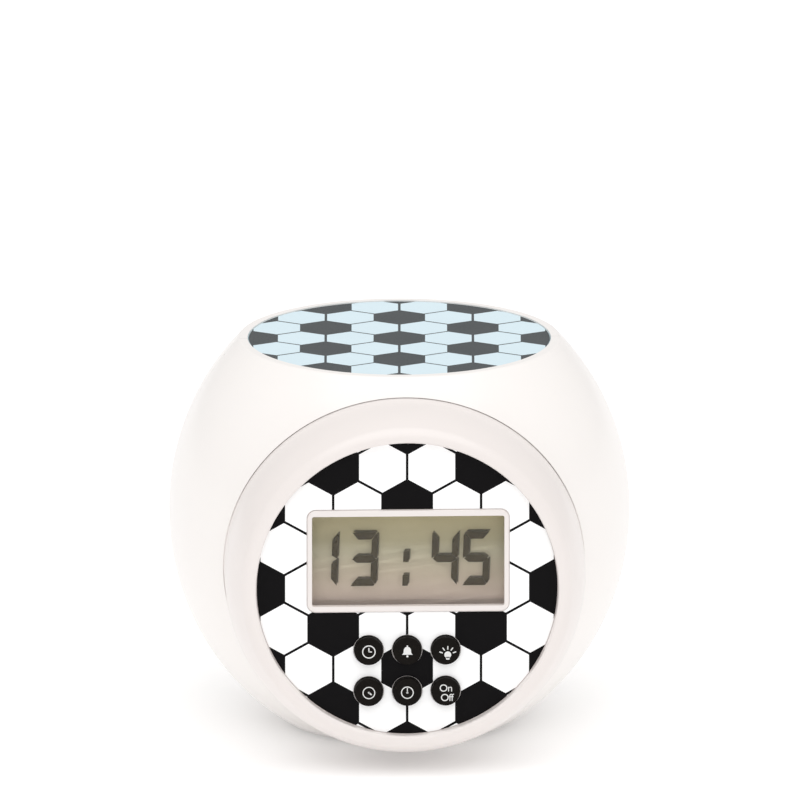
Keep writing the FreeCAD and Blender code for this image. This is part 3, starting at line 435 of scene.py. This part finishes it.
def display_figures():
    """The dark figures inside the glass, with a painted soft shadow of them on the sheet behind them: dark
    see-through copies.
    """
    outlines = [outline for character in SEGMENTS for outline in figure(character)]
    half_width, half_height = COLON_SIZE[0] / 2, COLON_SIZE[1] / 2
    for middle in COLON_SPOTS:
        outlines.append([Vector(middle) + Vector((across * half_width, up * half_height))
                         for across, up in SQUARE_CORNERS])
    leaning = [[Vector((spot.x + LEAN * spot.y, spot.y + DIGIT_RISE)) * MM for spot in outline]
               for outline in outlines]
    middle = Vector((window.x, (glass_low.y + glass_high.y) / 2, window.z))
    figures = solid_from("display_figures", leaning, FIGURE_THICKNESS,
                         Matrix.Translation(middle) @ UPRIGHT, segment_ink)
    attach(figures, "housing")
    for number, shift in enumerate(SHADE_SHIFTS, 1):
        behind = Vector((window.x + shift, reflector_front - SHADE_STEP * number, window.z + shift))
        shade = solid_from("display_painted_shadow_" + str(number), leaning, SHADE_THICKNESS,
                           Matrix.Translation(behind) @ UPRIGHT, segment_painted_shadow)
        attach(shade, "housing")


def line(start, end, width):
    start = Vector(start)
    end = Vector(end)
    across = (end - start).normalized()
    across = Vector((-across.y, across.x)) * width / 2
    return [start + across, start - across, end - across, end + across]


def ray(centre, turn_deg, near, far, width):
    way = Vector((math.cos(math.radians(turn_deg)), math.sin(math.radians(turn_deg))))
    return line(Vector(centre) + way * near, Vector(centre) + way * far, width)


def round_patch(centre, radius, count=28):
    turns = [2 * math.pi * number / count for number in range(count)]
    return [Vector(centre) + Vector((math.cos(turn), math.sin(turn))) * radius for turn in turns]


def ring_patches(centre, radius, width, count=32):
    """A flat ring, as a row of small four sided patches."""
    steps = [2 * math.pi * number / count for number in range(count + 1)]
    patches = []
    for start, end in zip(steps, steps[1:]):
        corners = ((start, -width / 2), (start, width / 2), (end, width / 2), (end, -width / 2))
        patches.append([Vector(centre) + Vector((math.cos(turn), math.sin(turn))) * (radius + reach)
                        for turn, reach in corners])
    return patches


# The marks on the buttons, drawn in millimetres about each button's middle.
MARK_STROKE = 0.3


def clock_icon():
    hands = [line((0, -0.1), (0, 1.15), MARK_STROKE), line((-0.1, 0), (0.85, 0), MARK_STROKE)]
    return ring_patches((0, 0), 1.75, MARK_STROKE) + hands


def bell_icon():
    body = [(-1.5, -0.9), (1.5, -0.9), (1.1, -0.4), (1.0, 0.6), (0.65, 1.2), (0, 1.45),
            (-0.65, 1.2), (-1.0, 0.6), (-1.1, -0.4)]
    clapper = round_patch((0, -1.35), 0.32, 14)
    knob = round_patch((0, 1.6), 0.22, 12)
    return [[Vector(spot) for spot in body], clapper, knob]


def bulb_icon():
    head = (0.55, -1.0)
    neck = [(0.1, -2.4), (1.0, -2.4), (1.1, -1.6), (0.0, -1.6)]
    rays = [ray(head, turn, 1.5, 2.5, MARK_STROKE) for turn in (20, 55, 90, 125, 160)]
    return [round_patch(head, 0.98), [Vector(spot) for spot in neck], *rays]


def hour_icon():
    hand = [line((0, 0.1), (0.75, -0.55), 0.42), round_patch((0, 0.05), 0.3, 14)]
    return ring_patches((0, 0), 1.65, 0.26) + hand


def minute_icon():
    hand = [line((0, -0.1), (0, 1.35), 0.26), round_patch((0, 0), 0.3, 14)]
    return ring_patches((0, 0), 1.65, 0.26) + hand


ICONS = {"time": clock_icon, "alarm": bell_icon, "light": bulb_icon, "hour": hour_icon, "minute": minute_icon}
MARK_LIFT = 0.03 * MM
MARK_DEPTH = 0.12 * MM


def button_place(key):
    low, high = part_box(key + "_button")
    return Vector(((low.x + high.x) / 2, low.y - MARK_LIFT + MARK_DEPTH, (low.z + high.z) / 2))


def button_marks():
    for key, drawing in ICONS.items():
        outlines = [[spot * MM for spot in outline] for outline in drawing()]
        place = Matrix.Translation(button_place(key)) @ UPRIGHT
        mark = solid_from(key + "_mark", outlines, MARK_DEPTH, place, icon_white)
        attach(mark, key + "_key")


# On and Off on the last button, with the left end and the height of each word's foot in millimetres.
SWITCH_WORDS = (("On", -1.85, 0.25), ("Off", -1.5, -2.5))
LETTER_SIZE = 2.95 * MM
LETTER_SPACING = 0.92


def switch_words():
    for word, left, foot in SWITCH_WORDS:
        curve = bpy.data.curves.new("power_word_" + word, "FONT")
        curve.body = word
        curve.size = LETTER_SIZE
        curve.space_character = LETTER_SPACING
        curve.extrude = MARK_DEPTH / 2
        text = link(bpy.data.objects.new("power_word_" + word, curve))
        mesh = mesh_of(text)
        bpy.data.objects.remove(text)
        spot = button_place("power") + Vector((left * MM, -MARK_DEPTH / 2, foot * MM))
        mesh.transform(Matrix.Translation(spot) @ UPRIGHT)
        mesh.materials.append(icon_white)
        mark = link(bpy.data.objects.new("power_mark_" + word.lower(), mesh))
        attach(mark, "power_key")


# The fine seams of the casing, each closed by a lip just under its surface.
SEAM_RADIUS = 50.8 * MM
BALL_RADIUS = 65 * MM
LIP_RADIUS = 0.17 * MM
LIP_DEPTH = 0.22 * MM
LIP_ROUNDING = 2
SEAM_STEPS = 180
SIDE_SEAM_DEG = (48, 150)


def lip(name, spots, closed):
    """A thin round bead along a row of spots, open or closed to a loop."""
    curve = bpy.data.curves.new(name + "_path", "CURVE")
    curve.dimensions = "3D"
    curve.bevel_depth = LIP_RADIUS
    curve.bevel_resolution = LIP_ROUNDING
    curve.use_fill_caps = True
    path = curve.splines.new("POLY")
    path.points.add(len(spots) - 1)
    path.use_cyclic_u = closed
    for point, spot in zip(path.points, spots):
        point.co = (*spot, 1)
    path_piece = link(bpy.data.objects.new(name + "_path", curve))
    mesh = mesh_of(path_piece)
    bpy.data.objects.remove(path_piece)
    mesh.materials.append(casing_white)
    bead = link(bpy.data.objects.new(name, mesh))
    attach(bead, "housing")


def seam_lips():
    """One lip round the ring where it goes into the ball, and one down each side of the casing."""
    reach = BALL_RADIUS - LIP_DEPTH
    around = []
    for number in range(SEAM_STEPS):
        turn = 2 * math.pi * number / SEAM_STEPS
        x = face.x + SEAM_RADIUS * math.sin(turn)
        z = face.z + SEAM_RADIUS * math.cos(turn)
        around.append((x, ball_centre.y - math.sqrt(reach ** 2 - x ** 2 - (z - ball_centre.z) ** 2), z))
    lip("ring_seam_lip", around, True)
    first, last = [math.radians(turn) for turn in SIDE_SEAM_DEG]
    for side, word in ((-1, "left"), (1, "right")):
        spots = []
        for number in range(SEAM_STEPS + 1):
            turn = first + (last - first) * number / SEAM_STEPS
            spots.append((side * reach * math.sin(turn), ball_centre.y,
                          ball_centre.z + reach * math.cos(turn)))
        lip("side_seam_lip_" + word, spots, False)


# The studio: a floor, an even surround and one broad light.
FLOOR_REACH = 6.0
FLOOR_GLOW = 0.16
SKY_STRENGTH = 0.67
SUN_STRENGTH = 1.35
SUN_SPREAD_DEG = 70
SUN_TILT_DEG = 22

# The camera's own sizes: its sensor in millimetres, and how far it sees.
SENSOR_WIDTH = 36
CLIP_END = 50


def studio():
    """A pale lit floor, an even white surround and one broad soft light from above."""
    corners = [(-FLOOR_REACH, -FLOOR_REACH, 0), (FLOOR_REACH, -FLOOR_REACH, 0),
               (FLOOR_REACH, FLOOR_REACH, 0), (-FLOOR_REACH, FLOOR_REACH, 0)]
    floor = bpy.data.meshes.new("floor")
    floor.from_pydata(corners, [], [(0, 1, 2, 3)])
    floor_white = surface("floor_white", (0.94, 0.94, 0.94), 0.9, grain=40, bump=0, tint=0.002, speckle=5,
                          Emission_Color=(1, 1, 1, 1), Emission_Strength=FLOOR_GLOW)
    floor.materials.append(floor_white)
    link(bpy.data.objects.new("floor", floor))
    world = bpy.data.worlds.new("surround")
    world.use_nodes = True
    world.node_tree.nodes["Background"].inputs["Color"].default_value = (1, 0.995, 0.99, 1)
    world.node_tree.nodes["Background"].inputs["Strength"].default_value = SKY_STRENGTH
    bpy.context.scene.world = world
    sun = bpy.data.lights.new("broad_light", "SUN")
    sun.energy = SUN_STRENGTH
    sun.angle = math.radians(SUN_SPREAD_DEG)
    lamp = link(bpy.data.objects.new("broad_light", sun))
    lamp.rotation_euler = (math.radians(SUN_TILT_DEG), 0, 0)
    bpy.context.scene.view_settings.view_transform = "Standard"


def camera():
    tilt = math.radians(CAMERA_HEIGHT_DEG)
    turn = math.radians(CAMERA_TURN_DEG)
    toward = Vector((math.sin(turn) * math.cos(tilt), -math.cos(turn) * math.cos(tilt), math.sin(tilt)))
    lens = bpy.data.cameras.new("camera")
    eye = link(bpy.data.objects.new("camera", lens))
    facing = (-toward).to_track_quat("-Z", "Y")
    right = facing @ Vector((1, 0, 0))
    up = facing @ Vector((0, 1, 0))
    half = FRAME_PIXELS / 2
    target = (ball_centre + right * (half - BALL_PIXEL[0]) / PIXELS_PER_METRE
              + up * (BALL_PIXEL[1] - half) / PIXELS_PER_METRE)
    eye.rotation_mode = "QUATERNION"
    eye.rotation_quaternion = facing
    eye.location = target + toward * CAMERA_DISTANCE
    lens.sensor_width = SENSOR_WIDTH
    lens.lens = lens.sensor_width * CAMERA_DISTANCE * PIXELS_PER_METRE / FRAME_PIXELS
    lens.clip_end = CLIP_END
    bpy.context.scene.camera = eye


camera()
studio()
dress_nodes()
face_squeeze = Matrix.Diagonal((1, FACE_PRINT_SQUEEZE, 1, 1))
printed_sheet("face_print", "face_overlay",
              Matrix.Translation(face + Vector((0, PRINT_SKIN, 0))) @ UPRIGHT @ face_squeeze,
              (print_white_painted_glow, print_black))
film_turn = Matrix.Rotation(math.radians(CAMERA_TURN_DEG), 4, "Z")
printed_sheet("film_print", "picture_film",
              Matrix.Translation(disc + Vector((0, 0, PICTURE_RISE - PRINT_SKIN))) @ film_turn,
              (film_pale_painted_glow, film_dark), PICTURE_RISE)
seam_lips()
display_figures()
button_marks()
switch_words()
